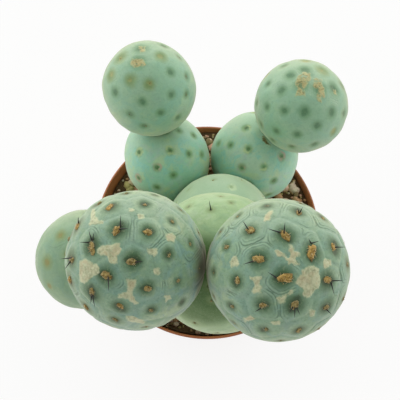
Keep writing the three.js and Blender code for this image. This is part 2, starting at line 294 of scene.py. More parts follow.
def pixel_ray(pixel):
    """The way that the photograph's camera looks at a pixel."""
    pitch = math.radians(CAMERA_PITCH)
    ahead = np.array([0, math.cos(pitch), -math.sin(pitch)])
    upward = np.array([0, math.sin(pitch), math.cos(pitch)])
    across = (pixel[0] - FRAME_PIXELS / 2) / FOCAL_PIXELS
    rise = (FRAME_PIXELS / 2 - pixel[1]) / FOCAL_PIXELS
    return unit(ahead + across * np.array([1, 0, 0]) + rise * upward)


def first_meeting(start, ways, scale):
    """At what share of each way from start it first meets an ellipsoid round the origin whose half
    sizes are scale, or infinity."""
    start, ways = start / scale, ways / scale
    a, b, c = (ways ** 2).sum(axis=-1), ways @ start, start @ start - 1
    reach = b * b - a * c
    return np.where(reach > 0, (-b - np.sqrt(np.maximum(reach, 0))) / a, np.inf)


def pixel_on_globe(stem, pixel, extra=0.0):
    """Where a pixel's view ray meets a segment's globe, or None: a point in the part's frame."""
    start = to_stem(stem, CAMERA_PLACE[None])[0]
    ray = pixel_ray(pixel) @ stem_turn(stem)
    for above, length in ((True, stem["top"]), (False, stem["base"])):
        scale = np.array([stem["radius"], stem["radius"], length]) + extra
        reach = first_meeting(start, ray, scale)
        point = start + ray * reach
        if reach < np.inf and (point[2] > 0) == above:
            return to_part(stem, point[None])[0]
    return None


# A point counts as hidden where a segment comes up before this share of the way to it
HIDDEN_SHARE = 0.985


def is_hidden(points, margin=0.0):
    """Whether segments hide points of the part's frame from the photograph's camera."""
    hidden = np.zeros(len(points), bool)
    for stem in STEMS.values():
        length = (stem["top"] + stem["base"]) / 2
        scale = np.array([stem["radius"], stem["radius"], length]) - margin / 2
        start = to_stem(stem, CAMERA_PLACE[None])[0]
        ways = (points - CAMERA_PLACE) @ stem_turn(stem)
        hidden |= first_meeting(start, ways, scale) < HIDDEN_SHARE
    return hidden


# How far beside an areole, in pixels, a second point gives the way of its wool
BESIDE_PIXELS = 2


def areole_layout(name):
    """The areoles: directions is a golden-angle spiral with those that are seen moved to their place,
    ways is how the wool of each one lies, and lengths is the wool's length, 0 where it isn't known.
    kinds is 0 for one that isn't seen, 1 for one that is, 2 for a pale heart and 3 for a pinkish one."""
    stem = STEMS[name]
    order = np.arange(stem["areoles"])
    share = (order + stem["first"]) / stem["areoles"]
    z = 1 - 2 * share ** stem["crowd"]
    ring = np.sqrt(np.maximum(0, 1 - z * z))
    angle = math.radians(stem["turn"]) + stem["hand"] * GOLDEN_ANGLE * order
    directions = np.column_stack((ring * np.cos(angle), ring * np.sin(angle), z))
    moved, turned = set(), {}
    lengths, kinds = np.zeros(len(directions)), np.zeros(len(directions), int)
    for pixel in AREOLES_SEEN.get(name, ()):
        point = pixel_on_globe(stem, pixel)
        if point is None:
            continue
        local = to_stem(stem, point[None])
        distance = np.linalg.norm(globe_points(stem, directions) - local, axis=1)
        distance[list(moved)] = np.inf
        nearest = int(distance.argmin())
        if distance[nearest] < NUDGE_REACH:
            directions[nearest] = globe_directions(stem, local)[0]
            moved.add(nearest)
            kinds[nearest] = 1 + (pixel in PALE_HEARTS) + 2 * (pixel in PINK_HEARTS)
            if len(pixel) == 4:
                lengths[nearest] = pixel[3]
                turn = math.radians(pixel[2])
                step = np.array([math.cos(turn), -math.sin(turn)]) * BESIDE_PIXELS
                beside = pixel_on_globe(stem, pixel[:2] + step)
                turned[nearest] = (to_stem(stem, beside[None]) - local)[0]
    ways = meridian(directions)
    for index, way in turned.items():
        ways[index] = unit(way - directions[index] * (way @ directions[index]))
    if name in SPARSE:
        kept = is_hidden(to_part(stem, globe_points(stem, directions)))
        kept[list(moved)] = True
        directions, ways, lengths, kinds = directions[kept], ways[kept], lengths[kept], kinds[kept]
    return {"directions": directions, "ways": ways, "lengths": lengths, "kinds": kinds}


def linear(hex_colour):
    """A colour as written for a screen, turned into the linear values that a shader takes."""
    values = [int(hex_colour[i:i + 2], 16) / 255 for i in (0, 2, 4)]
    return [v / 12.92 if v <= 0.04045 else ((v + 0.055) / 1.055) ** 2.4 for v in values] + [1.0]


class Nodes:
    """The node tree of a material or a world, with a short call for each kind of node."""

    def __init__(self, owner):
        owner.use_nodes = True
        self.tree = owner.node_tree

    def link(self, output, socket):
        self.tree.links.new(output, socket)

    def node(self, kind, **settings):
        node = self.tree.nodes.new(kind)
        for key, value in settings.items():
            setattr(node, key, value)
        return node

    def attribute(self, name):
        return self.node("ShaderNodeAttribute", attribute_name=name).outputs["Fac"]

    def place(self):
        return self.node("ShaderNodeTexCoord").outputs["Object"]

    def axes(self, way):
        """The parts of a place or a way along X, Y and Z."""
        node = self.node("ShaderNodeSeparateXYZ")
        self.link(way, node.inputs[0])
        return node.outputs

    def noise(self, scale, detail=3.0, roughness=0.5, distortion=0.0):
        """Noise whose features are about 1 / scale metres across. Three scales draw it out."""
        node = self.node("ShaderNodeTexNoise")
        place = self.place()
        if isinstance(scale, tuple):
            stretch = self.node("ShaderNodeVectorMath", operation="MULTIPLY")
            stretch.inputs[1].default_value = scale
            self.link(place, stretch.inputs[0])
            place, scale = stretch.outputs[0], 1
        node.inputs["Scale"].default_value = scale
        node.inputs["Detail"].default_value = detail
        node.inputs["Roughness"].default_value = roughness
        node.inputs["Distortion"].default_value = distortion
        self.link(place, node.inputs["Vector"])
        return node.outputs["Fac"]

    def put(self, value, socket):
        """Gives a socket a number, a colour or what another node puts out."""
        if isinstance(value, str):
            socket.default_value = linear(value)
        elif isinstance(value, (int, float)):
            socket.default_value = value
        else:
            self.link(value, socket)

    def math(self, operation, *values):
        node = self.node("ShaderNodeMath", operation=operation)
        for socket, value in zip(node.inputs, values):
            self.put(value, socket)
        return node.outputs[0]

    def times(self, first, second):
        return self.math("MULTIPLY", first, second)

    def span(self, value, low, high, out_low=0.0, out_high=1.0, kind="SMOOTHSTEP"):
        """value from low to high as a step, smooth or not, from out_low to out_high."""
        node = self.node("ShaderNodeMapRange", interpolation_type=kind)
        self.link(value, node.inputs["Value"])
        for socket, number in zip(node.inputs[1:5], (low, high, out_low, out_high)):
            socket.default_value = number
        return node.outputs[0]

    def ramp(self, value, stops, interpolation="LINEAR"):
        node = self.node("ShaderNodeValToRGB")
        node.color_ramp.interpolation = interpolation
        elements = node.color_ramp.elements
        while len(elements) < len(stops):
            elements.new(0.5)
        for element, (position, colour) in zip(elements, stops):
            element.position = position
            element.color = linear(colour)
        self.link(value, node.inputs["Fac"])
        return node.outputs["Color"]

    def mix(self, share, first, second):
        node = self.node("ShaderNodeMix", data_type="RGBA")
        for index, value in ((0, share), (6, first), (7, second)):
            self.put(value, node.inputs[index])
        return node.outputs[2]


class Paint(Nodes):
    """A material."""

    def __init__(self, name, roughness=0.5, specular=0.5):
        self.material = bpy.data.materials.new(name)
        super().__init__(self.material)
        self.shader = self.tree.nodes["Principled BSDF"]
        self.set("Roughness", roughness)
        self.set("Specular IOR Level", specular)

    def set(self, socket, value):
        self.shader.inputs[socket].default_value = value

    def colour(self, output):
        self.link(output, self.shader.inputs["Base Color"])

    def bump(self, height, distance, strength):
        """Relief of a distance in millimetres."""
        node = self.node("ShaderNodeBump")
        node.inputs["Strength"].default_value = strength
        node.inputs["Distance"].default_value = distance * METRE
        self.link(height, node.inputs["Height"])
        self.link(node.outputs[0], self.shader.inputs["Normal"])


def make_piece(name, points, faces, paint, attributes=None):
    """A mesh object from points in millimetres. It rides on the part's one body."""
    mesh = bpy.data.meshes.new(name)
    mesh.from_pydata((np.asarray(points) * METRE).tolist(), [], faces)
    for key, values in (attributes or {}).items():
        layer = mesh.attributes.new(key, "FLOAT", "POINT")
        layer.data.foreach_set("value", np.asarray(values, np.float32))
    mesh.polygons.foreach_set("use_smooth", [True] * len(mesh.polygons))
    mesh.update()
    mesh.materials.append(paint.material)
    piece = bpy.data.objects.new(name, mesh)
    bpy.context.scene.collection.objects.link(piece)
    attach(piece, "root")
    return piece


def icosphere(detail):
    """Unit directions and faces of an icosphere."""
    form = bmesh.new()
    bmesh.ops.create_icosphere(form, subdivisions=detail, radius=1)
    points = np.array([v.co[:] for v in form.verts])
    faces = [[v.index for v in face.verts] for face in form.faces]
    form.free()
    return unit(points), faces


def waves(points, seed, size, count=7):
    """Smooth lumps about size millimetres across, from -1 to 1, as a sum of seeded waves."""
    random = np.random.default_rng(seed)
    total = np.zeros(len(points))
    for _ in range(count):
        way = unit(random.normal(size=3)) * 2 * math.pi / (size * random.uniform(0.7, 1.5))
        total += np.sin(points @ way + random.uniform(0, 2 * math.pi))
    return total / math.sqrt(count)


# Corky scars: the corners of each, in pixels of the photograph
SCARS_SEEN = {
    "stem_top_left": [
        [(97, 249), (103, 246), (119, 245), (120, 252), (117, 254), (117, 263), (111, 263), (106, 256),
         (99, 254)],
        [(80, 262), (86, 259), (92, 263), (98, 267), (99, 272), (91, 277), (85, 284), (80, 281), (79, 271)],
        [(148, 249), (156, 249), (156, 254), (154, 257), (151, 255), (148, 252)],
        [(153, 269), (159, 268), (161, 272), (159, 276), (154, 275), (153, 272)],
        [(127, 279), (136, 280), (135, 284), (133, 287), (131, 294), (136, 302), (138, 304), (134, 304),
         (130, 300)],
        [(129, 298), (119, 297), (120, 294), (126, 292), (129, 287), (133, 288), (131, 295)],
        [(136, 213), (144, 214), (144, 217), (139, 218)],
        [(129, 208), (135, 209), (134, 211), (130, 211)],
        [(166, 234), (172, 233), (175, 237), (174, 240), (168, 240)],
        [(165, 297), (170, 296), (171, 299), (167, 301)],
        [(92, 209), (95, 209), (95, 218), (100, 221), (105, 220), (103, 224), (98, 224), (92, 224),
         (89, 225), (91, 219)],
        [(128, 317), (133, 317), (143, 320), (144, 323), (135, 323), (128, 321)],
    ],
    "stem_top_right": [
        [(302, 275), (303, 270), (308, 267), (313, 266), (319, 269), (319, 275), (321, 280), (319, 288),
         (315, 291), (313, 296), (307, 298), (304, 294), (304, 288), (301, 286), (296, 283), (297, 278)],
        [(289, 244), (293, 246), (295, 250), (300, 252), (300, 255), (295, 257), (297, 261), (298, 264),
         (294, 265), (288, 260), (290, 254), (288, 250)],
        [(275, 250), (279, 250), (287, 256), (293, 263), (290, 264), (282, 256), (278, 255)],
        [(250, 277), (261, 276), (261, 280), (259, 283), (261, 288), (261, 292), (254, 293), (252, 290),
         (254, 285), (253, 282), (250, 280)],
        [(231, 258), (235, 256), (238, 264), (236, 266), (231, 266), (229, 263)],
        [(276, 298), (282, 297), (286, 295), (291, 291), (291, 293), (286, 298), (285, 301), (281, 304),
         (278, 301)],
        [(325, 259), (332, 260), (331, 265), (326, 268), (324, 266)],
        [(265, 215), (272, 211), (271, 217), (269, 221), (264, 221)],
        [(244, 318), (250, 316), (255, 319), (251, 321), (245, 322)],
        [(272, 322), (279, 321), (279, 324), (274, 325)],
        [(310, 311), (315, 311), (315, 317), (311, 317)],
    ],
    "stem_rear_left_upper": [
        [(132, 59), (138, 58), (143, 60), (146, 65), (141, 67), (134, 67), (131, 64)],
        [(139, 47), (145, 47), (145, 52), (140, 53)],
    ],
    "stem_rear_right_upper": [
        [(304, 72), (310, 73), (310, 80), (308, 84), (305, 87), (305, 96), (296, 96), (298, 89), (295, 85),
         (296, 79)],
        [(314, 79), (322, 79), (322, 85), (325, 89), (324, 97), (316, 98), (317, 91), (313, 86)],
        [(316, 97), (320, 98), (321, 102), (317, 101)],
        [(333, 89), (336, 90), (337, 95), (334, 94)],
    ],
    "stem_rear_right_lower": [
        [(261, 136), (263, 137), (267, 142), (271, 145), (269, 146), (265, 144), (262, 141)],
    ],
}
# How many more scars there are where the camera sees none, their sizes and their corners
SCARS_UNSEEN = {"stem_top_left": 14, "stem_top_right": 14}
SCAR_SIZES = (0.9, 2.3)
SCAR_CORNERS = 7
SCAR_MARGIN = 2.0
# A scar's depth is worked out this far outside it
SCAR_RANGE = 3.0
# Slanting ways that a frame on the skin and one across a needle start from
ODD_WAY, ODD_NEEDLE_WAY = [0.3, 0.5, 0.8], [0.31, 0.52, 0.79]


def corner_distance(corners, points):
    """Signed distance of flat points from a polygon's outline, above 0 inside it."""
    nearest = np.full(len(points), np.inf)
    inside = np.zeros(len(points), bool)
    for a, b in zip(corners, np.roll(corners, -1, axis=0)):
        side = b - a
        share = np.clip((points - a) @ side / (side @ side), 0, 1)
        nearest = np.minimum(nearest, np.linalg.norm(points - a - share[:, None] * side, axis=1))
        crosses = (a[1] > points[:, 1]) != (b[1] > points[:, 1])
        if crosses.any():
            inside ^= crosses & (points[:, 0] < a[0] + (points[:, 1] - a[1]) * side[0] / side[1])
    return np.where(inside, nearest, -nearest)


def flat_frame(normal, odd_way=ODD_WAY):
    """Two unit ways that are square to a unit normal and to each other."""
    side = unit(np.cross(normal, odd_way))
    return np.stack((side, np.cross(normal, side)))


def scar_outlines(name):
    """The corners of a segment's scars in the part's frame: seen ones, then some where it is hidden."""
    stem = STEMS[name]
    outlines = []
    for pixels in SCARS_SEEN.get(name, ()):
        corners = [pixel_on_globe(stem, pixel) for pixel in pixels]
        outlines.append(np.array([corner for corner in corners if corner is not None]))
    random = np.random.default_rng(seed_of("scars", name))
    left = SCARS_UNSEEN.get(name, 0)
    while left > 0:
        direction = unit(random.normal(size=3))
        middle = to_part(stem, globe_points(stem, direction[None]))[0]
        size = random.uniform(*SCAR_SIZES)
        reaches = size * random.uniform(0.6, 1.3, SCAR_CORNERS)
        if not is_hidden(middle[None], SCAR_MARGIN)[0]:
            continue
        turns = np.arange(SCAR_CORNERS) * 2 * math.pi / SCAR_CORNERS
        flat = np.column_stack((reaches * np.cos(turns), reaches * np.sin(turns)))
        outlines.append(middle + flat @ flat_frame(stem_turn(stem) @ direction))
        left -= 1
    return outlines


def scar_depth(name, points):
    """How far points of a segment's skin lie inside a scar, below 0 outside, in millimetres."""
    depth = np.full(len(points), -SCAR_RANGE)
    for corners in scar_outlines(name):
        heart = corners.mean(axis=0)
        frame = flat_frame(unit(heart - STEMS[name]["centre"])).T
        reach = np.linalg.norm(corners - heart, axis=1).max() + SCAR_RANGE
        near = np.linalg.norm(points - heart, axis=1) < reach
        value = corner_distance((corners - heart) @ frame, (points[near] - heart) @ frame)
        depth[near] = np.maximum(depth[near], value)
    return depth


def meridian(directions):
    """At each direction the unit way towards the segment's tip, in its own frame."""
    way = np.array([0, 0, 1.0]) - directions * directions[:, 2:3]
    return unit(way + TINY)


# The side of the plant that faces the brightest light, where the skin is painted paler: painted light
LIT_SIDE = (0, 0.8, 0.55)
# Between this many nearest areoles the tubercles' edges are found, and rounded this much
NEIGHBOURS = 6
EDGE_ROUND = 0.45
GROOVE_WIDTH = 1.3
SEAM_WIDTH = 0.3
# Uneven skin: lumps of these heights and sizes
LUMPS = ((0.1, 14), (0.04, 5))
SCAR_RISE = 0.07
# A halo's middle lies beside its areole by about this much
HALO_SHIFT = 0.25


def gap_beside(name, points):
    """How far points of a segment's skin are from the nearest other segment, in millimetres."""
    return np.min([outside(stem, points) for other, stem in STEMS.items() if other != name], axis=0)


def make_skin(name, paint):
    """A segment's skin: its globe with a tubercle round each areole."""
    stem = STEMS[name]
    look = LOOKS[stem["look"]]
    seed = seed_of("skin", name)
    random = np.random.default_rng(seed)
    directions, faces = icosphere(stem["detail"])
    layout = areole_layout(name)
    areoles, ways = layout["directions"], layout["ways"]
    centres = globe_points(stem, areoles)
    surface = globe_points(stem, directions)
    distance = np.linalg.norm(surface[:, None] - centres[None], axis=2)
    nearest = np.argsort(distance, axis=1)[:, :NEIGHBOURS]
    own = nearest[:, 0]
    first = np.take_along_axis(distance, nearest[:, :1], axis=1)[:, 0]
    others = np.take_along_axis(distance, nearest[:, 1:], axis=1)
    apart = np.linalg.norm(centres[nearest[:, 1:]] - centres[own][:, None], axis=2)
    edges = (others ** 2 - first[:, None] ** 2) / (2 * apart)
    edge = -EDGE_ROUND * np.log(np.exp(-edges / EDGE_ROUND).sum(axis=1))
    edge = np.maximum(edge, 0)
    part_points = to_part(stem, surface)
    offset = surface - centres[own] - HALO_SHIFT * random.normal(size=(len(areoles), 3))[own]
    along = np.einsum("ij,ij->i", offset, ways[own])
    across = np.sqrt(np.maximum(0, (offset ** 2).sum(axis=1) - along ** 2))
    age = areole_age(stem, areoles)[own]
    young, old = look["halo"]
    halo = np.hypot(along, across) / (young + age * (old - young))
    young, old = np.array(look["lens"])
    halves = young + age[:, None] * (old - young)
    lens = (along / halves[:, 0]) ** 2 + across / halves[:, 1]
    scar = scar_depth(name, part_points)
    height = stem["swell"] + SCAR_RISE * np.clip(scar, 0, 1)
    for k, (rise, size) in enumerate(LUMPS):
        height += rise * waves(part_points, seed + 50 * k, size)
    height -= look["fall"] * np.exp(-edge / GROOVE_WIDTH)
    height -= look["seam"] * np.exp(-((edge / SEAM_WIDTH) ** 2))
    height -= look["pit"] * np.exp(-((first / look["pit_reach"]) ** 2))
    # A pale heart has a tone above 0.7, and a pinkish one above 0.9
    tone = random.random(len(areoles))
    if stem["look"] not in ("weathered", "olive"):
        tone = np.choose(layout["kinds"], [tone, 0.4 * tone, 0.7 + 0.05 * tone, 0.9 + 0.1 * tone])
    attributes = {
        "halo": halo,
        "lens": lens,
        "edge": edge,
        "areole": first,
        "scar": scar,
        "tip": directions[:, 2],
        "tone": tone[own],
        # How much each point faces the lit side, for the painted highlight
        "lit_side": directions @ stem_turn(stem).T @ unit(LIT_SIDE),
        "gap": gap_beside(name, part_points),
    }
    points = to_part(stem, globe_points(stem, directions, height))
    piece = make_piece(name + "_skin", points, faces, paint, attributes)
    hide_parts(name)
    return layout


# The skins. foot and tip are the skin's colours at its two ends, bloom its wax, groove and mauve the
# hollows', halo and heart the dark patch round an areole, pale the spots, line the growth lines, and
# cork the scars from dark to light. On the olive skin the dark tip colour is painted shade under the
# top segments. soft is where the halo starts to fade and where it ends, in halo radii. grooves,
# patches, lines, lit_side and tan are how much of each shows, lit_side being the painted highlight on
# the side that faces the brightest light, and relief how deep the lines are. dark_heart is how much
# of the heart shows, and old_halo how much of the halo of an areole with a high tone. turning is how
# far up a segment, from -1 to 1, its skin starts to turn to the tip's colour, and ends, and tipped how
# much. crevice_shade is painted shade: how far from the next segment the skin is painted darker, in
# millimetres, and how much.
PLAIN_SKIN = {
    "turning": (-0.2, 0.7), "tipped": 0.6, "grooves": 0.25, "patches": 0.15, "lines": 0.1, "relief": 0.4,
    "lit_side": 0.0, "tan": 0.0, "crevice_shade": (2.5, 0.5), "sheen": 0.5, "sheen_tint": "f4f0cc",
    "old_halo": 1.0, "dark_heart": 0.92,
    "cork": [(0.33, "868a66"), (0.45, "a8ae8a"), (0.56, "c0c49e"), (0.68, "b8b28c")],
}
SKINS = {
    "weathered": {
        "foot": "7d9e77", "tip": "7d9e83", "bloom": "a0bb96", "groove": "6d9898", "mauve": "909e9c",
        "halo": "3f623d", "heart": "2c4024", "pale": "bfcb9e", "line": "46664a", "soft": (0.45, 1.6),
        "grooves": 0.6, "patches": 0.6, "lines": 0.65, "relief": 0.8, "lit_side": 0.5, "tan": 0.35,
        "crevice_shade": (5.2, 1.0), "sheen": 0.43,
    },
    "haloed": {
        "foot": "749a70", "tip": "7c9e7e", "bloom": "98b48e", "groove": "68948a", "mauve": "869e8e",
        "halo": "7a8a4c", "heart": "827c38", "pale": "a8bd8e", "line": "728e70", "soft": (0.3, 1.5),
        "grooves": 0.45, "patches": 0.5, "lines": 0.25, "lit_side": 0.6, "sheen": 0.45, "old_halo": 0.35,
    },
    "dimpled": {
        "foot": "8cba9a", "tip": "94ba98", "bloom": "b0c6a6", "groove": "7cb4a4", "mauve": "94aea6",
        "halo": "66926a", "heart": "4e7a56", "pale": "aac89a", "line": "789c80", "soft": (0.3, 1.55),
        "patches": 0.5, "lit_side": 0.5, "sheen": 0.45, "sheen_tint": "fce0bc",
        "cork": [(0.35, "7a7c4c"), (0.46, "aa9e66"), (0.56, "c2b882"), (0.66, "aaac78")],
    },
    "ringed": {
        "foot": "98caac", "tip": "a0cdb0", "bloom": "bcceb2", "groove": "88c8bc", "mauve": "a8bebc",
        "halo": "6c9862", "heart": "48683e", "pale": "bed096", "line": "82b090", "soft": (0.3, 1.5),
        "patches": 0.65, "relief": 0.24, "lit_side": 0.8, "crevice_shade": (2.2, 0.3), "sheen": 0.28,
        "sheen_tint": "ffd0a0", "dark_heart": 0.8,
        "cork": [(0.35, "3c4428"), (0.5, "5c5434"), (0.62, "8c7c54")],
    },
    "pale": {
        "foot": "98b892", "tip": "9cbc98", "bloom": "acc6a8", "groove": "9cc0a0", "mauve": "b0c0aa",
        "halo": "89a874", "heart": "66804e", "pale": "bcd0a6", "line": "92b08a", "soft": (0.2, 1.7),
        "relief": 0.16, "crevice_shade": (2.0, 0.2),
    },
    # The olive skin's dark tip colour, from turning's start to its end, is painted shade under the two top
    # segments
    "olive": {
        "foot": "91af7c", "tip": "4a6c32", "bloom": "a0bc90", "groove": "84a680", "mauve": "a4b49c",
        "halo": "768c54", "heart": "4a5830", "pale": "b0c398", "line": "7c9868", "soft": (0.2, 1.7),
        "turning": (0.67, 0.88), "tipped": 1.0, "patches": 0.5, "relief": 0.16, "crevice_shade": (2.0, 0.2),
        "sheen": 0.42,
    },
}
# The first is the painted highlight on the lit side, the second the painted shade by the next segment
PAINTED_LIGHT, CREVICE_SHADE, PALE_HALO, PALE_CORE, PINK_RING, TANNED = (
    "b4c09a", "2a2f18", "849a5c", "949c5c", "c6a698", "ac9674"
)
# The noises on the skins: features to a metre, detail, roughness and distortion
NOISES = {
    "bloom": (75, 3, 0.5), "fine": (330, 4, 0.6, 0.5), "spots": (130, 2, 0.5),
    "hollow": (110, 3, 0.55), "smear": (170, 3, 0.5), "patch": (190, 4, 0.62, 1.0),
    "wobble": (260, 2, 0.5), "lines": (150, 2, 0.5), "core": (900, 3, 0.6), "ring": (700, 2, 0.5),
    "broken": (420, 2, 0.5), "mottle": (480, 5, 0.7, 0.8), "streak": ((90, 420, 420), 4, 0.6),
    "speckle": (1300, 3, 0.7), "torn": (700, 4, 0.6), "ragged": (240, 2, 0.5), "worn": (560, 3, 0.6),
    "flakes": (420, 3, 0.6, 1.5), "crumbs": (1500, 2), "tan": (230, 3, 0.6), "grain": (1900, 3, 0.6),
}
# How far some of them move the value that they are laid on
STIRS = {"wobble": 1.2, "core": 2.4, "ring": 1.6, "torn": 1.8, "ragged": 1.0}
# How the features come up: the value where each starts and where it ends, and its share at the two
SPANS = {
    "bloom": (0.4, 0.65, 0, 0.7), "spots": (0.78, 0.92, 0, 0.5), "groove": (0.4, 2.6, 1, 0),
    "hollow": (0.4, 0.58, 0.1, 1), "smear": (0.54, 0.66, 0, 0.8), "blue patch": (0.51, 0.62, 0, 1),
    "mauve patch": (0.46, 0.35, 0, 0.6), "lit_side": (0.45, 1, 0, 1), "near groove": (0.2, 2.2, 1, 0),
    "lines": (0.5, 0.64, 0, 1), "line": (0.2, 0.95, 0, 1), "crest": (-0.3, -0.95, 0, 0.7),
    "pale kind": (0.6, 0.7, 0, 0.75), "heart": (0.35, 1.25, 1, 0), "faint heart": (0.45, 0.7, 0.95, 0.3),
    "core": (1.3, 0.5, 0, 1), "ring in": (0.6, 1.1, 0, 1), "ring out": (1.4, 2.1, 1, 0),
    "broken": (0.4, 0.6, 0.2, 1), "ringed kind": (0.45, 0.7, 0, 0.75), "pink kind": (0.8, 0.82, 0, 1),
    "dark mottle": (0.35, 0.65, 0.16, 0), "pale mottle": (0.58, 0.75, 0, 0.3),
    "unstreaked": (0.5, 0.7, 1, 0), "pale streak": (0.54, 0.66, 0, 0.4), "dark streak": (0.46, 0.36, 0, 0.3),
    "dark speckle": (0.46, 0.34, 0, 0.3), "pale speckle": (0.55, 0.68, 0, 0.15), "scar": (1, 1.6, 0, 1),
    "worn": (0.38, 0.52, 0.2, 0.85), "tan": (0.5, 0.62, 0, 1), "scar rim": (1.2, 1.9, 0.5, 0),
}
LINE_SPACING = 0.75


class SkinPaint(Paint):
    """The skin of one look. Each method lays one more feature over the colour so far."""

    def __init__(self, look):
        super().__init__("skin_" + look, roughness=0.55, specular=0.3)
        self.look = look
        self.skin = {**PLAIN_SKIN, **SKINS[look]}
        self.edge, self.areole, self.tone, self.tip = [
            self.attribute(key) for key in ("edge", "areole", "tone", "tip")
        ]
        self.fine = self.grain("fine")
        self.base = self.skin["foot"]
        self.wax()
        self.hollows()
        self.lines()
        self.halos()
        self.rings()
        self.detail()
        self.scars()
        self.finish()

    def grain(self, key):
        return self.noise(*NOISES[key])

    def stirred(self, key, value):
        return self.math("MULTIPLY_ADD", self.grain(key), STIRS[key], value)

    def share(self, key, value, most=1.0):
        """How much of a feature shows at a value, most at its fullest."""
        low, high, start, end = SPANS[key]
        return self.span(value, low, high, start * most, end * most)

    def lay(self, share, colour):
        self.base = self.mix(share, self.base, self.skin[colour] if colour in self.skin else colour)

    def wax(self):
        self.lay(self.share("bloom", self.grain("bloom")), "bloom")
        spots = self.math("MULTIPLY_ADD", self.fine, 0.5, self.grain("spots"))
        self.lay(self.share("spots", spots), "pale")

    def hollows(self):
        """The grooves between tubercles, patches, the painted highlight on the lit side, and the tip, which
        is painted shade on the olive skin.
        """
        hollow = self.share("groove", self.edge, self.skin["grooves"])
        hollow = self.times(hollow, self.share("hollow", self.grain("hollow")))
        self.lay(hollow, "groove")
        self.lay(self.times(hollow, self.share("smear", self.grain("smear"))), "mauve")
        patch = self.grain("patch")
        self.lay(self.share("blue patch", patch, self.skin["patches"]), "groove")
        self.lay(self.share("mauve patch", patch, self.skin["patches"]), "mauve")
        # Painted light: the skin is painted paler on the side that faces the brightest light
        self.lay(self.share("lit_side", self.attribute("lit_side"), self.skin["lit_side"]), PAINTED_LIGHT)
        # On the olive skin the tip colour is painted shade under the top segments
        self.lay(self.span(self.tip, *self.skin["turning"], 0, self.skin["tipped"]), "tip")

    def lines(self):
        """Growth lines that run along the grooves, here and there."""
        turns = self.times(self.stirred("wobble", self.edge), 2 * math.pi / LINE_SPACING)
        wave = self.math("SINE", turns)
        near = self.share("near groove", self.edge)
        shown = self.times(near, self.share("lines", self.grain("lines")))
        self.line = self.times(self.share("line", wave), shown)
        crest = self.times(self.share("crest", wave), shown)
        self.lay(self.times(crest, self.skin["lines"]), "bloom")
        self.lay(self.times(self.line, self.skin["lines"]), "line")

    def halos(self):
        """The soft dark patch round an areole, and its darker heart."""
        ragged = self.math("MULTIPLY_ADD", self.fine, 0.7, -0.35)
        halo = self.math("ADD", ragged, self.attribute("halo"))
        depth = self.span(self.tone, 0.6, 0.7, 0.95, self.skin["old_halo"])
        halo = self.times(self.span(halo, *self.skin["soft"], 1, 0), depth)
        heart = self.math("MULTIPLY_ADD", ragged, 0.8, self.attribute("lens"))
        heart = self.share("heart", heart, self.skin["dark_heart"])
        if self.look != "dimpled":
            self.lay(halo, "halo")
            self.lay(heart, "heart")
            return
        pale = self.share("pale kind", self.tone)
        self.lay(halo, self.mix(pale, self.skin["halo"], PALE_HALO))
        self.lay(self.times(heart, self.share("faint heart", self.tone)), "heart")
        core = self.stirred("core", self.math("ADD", self.areole, -STIRS["core"] / 2))
        self.lay(self.times(self.share("core", core), pale), PALE_CORE)

    def rings(self):
        """A broken pale or pinkish ring round the areoles that have one."""
        if self.look not in ("ringed", "pale"):
            return
        ring = self.stirred("ring", self.math("ADD", self.areole, -STIRS["ring"] / 2))
        ring = self.times(self.share("ring in", ring), self.share("ring out", ring))
        ring = self.times(ring, self.share("broken", self.grain("broken")))
        colour = self.mix(self.share("pink kind", self.tone), self.skin["pale"], PINK_RING)
        self.lay(self.times(ring, self.share("ringed kind", self.tone)), colour)

    def detail(self):
        """Mottles, streaks and speckles."""
        mottle = self.grain("mottle")
        self.lay(self.share("dark mottle", mottle), "line")
        self.lay(self.share("pale mottle", mottle), "bloom")
        if self.look in ("pale", "olive"):
            streak = self.grain("streak")
            fade = self.share("unstreaked", self.tip)
            self.lay(self.times(self.share("pale streak", streak), fade), "pale")
            self.lay(self.times(self.share("dark streak", streak), fade), "line")
        speckle = self.grain("speckle")
        self.lay(self.share("dark speckle", speckle), "line")
        self.lay(self.share("pale speckle", speckle), "pale")

    def scars(self):
        """Flaky corky scars with a ragged outline."""
        torn = self.stirred("ragged", self.stirred("torn", self.attribute("scar")))
        self.scar = self.share("scar", torn)
        if self.look == "dimpled":
            self.scar = self.times(self.scar, self.share("worn", self.grain("worn")))
        crumbs = self.times(self.grain("crumbs"), 0.4)
        self.flakes = self.math("MULTIPLY_ADD", self.grain("flakes"), 0.6, crumbs)
        cork = self.ramp(self.flakes, self.skin["cork"])
        cork = self.mix(self.share("tan", self.grain("tan"), self.skin["tan"]), cork, TANNED)
        cork = self.mix(self.share("scar rim", torn), cork, self.skin["pale"])
        self.lay(self.scar, cork)

    def finish(self):
        """The painted shade by the next segment, the gloss and the relief."""
        reach, most = self.skin["crevice_shade"]
        # Painted shade: the skin is painted darker close to the next segment, where the segments meet
        self.lay(self.span(self.attribute("gap"), 0, reach, most, 0), CREVICE_SHADE)
        self.colour(self.base)
        self.set("Sheen Weight", self.skin["sheen"])
        self.set("Sheen Roughness", 0.5)
        self.set("Sheen Tint", linear(self.skin["sheen_tint"]))
        self.set("Subsurface Weight", 0.1)
        self.set("Subsurface Radius", (0.6, 1.0, 0.4))
        self.set("Subsurface Scale", 0.002)
        grain = self.math("MULTIPLY_ADD", self.grain("grain"), 0.3, self.fine)
        grain = self.math("MULTIPLY_ADD", self.line, -self.skin["relief"], grain)
        rough = self.times(self.scar, self.math("ADD", 0.6, self.flakes))
        self.bump(self.math("ADD", grain, rough), 0.13, 0.6)


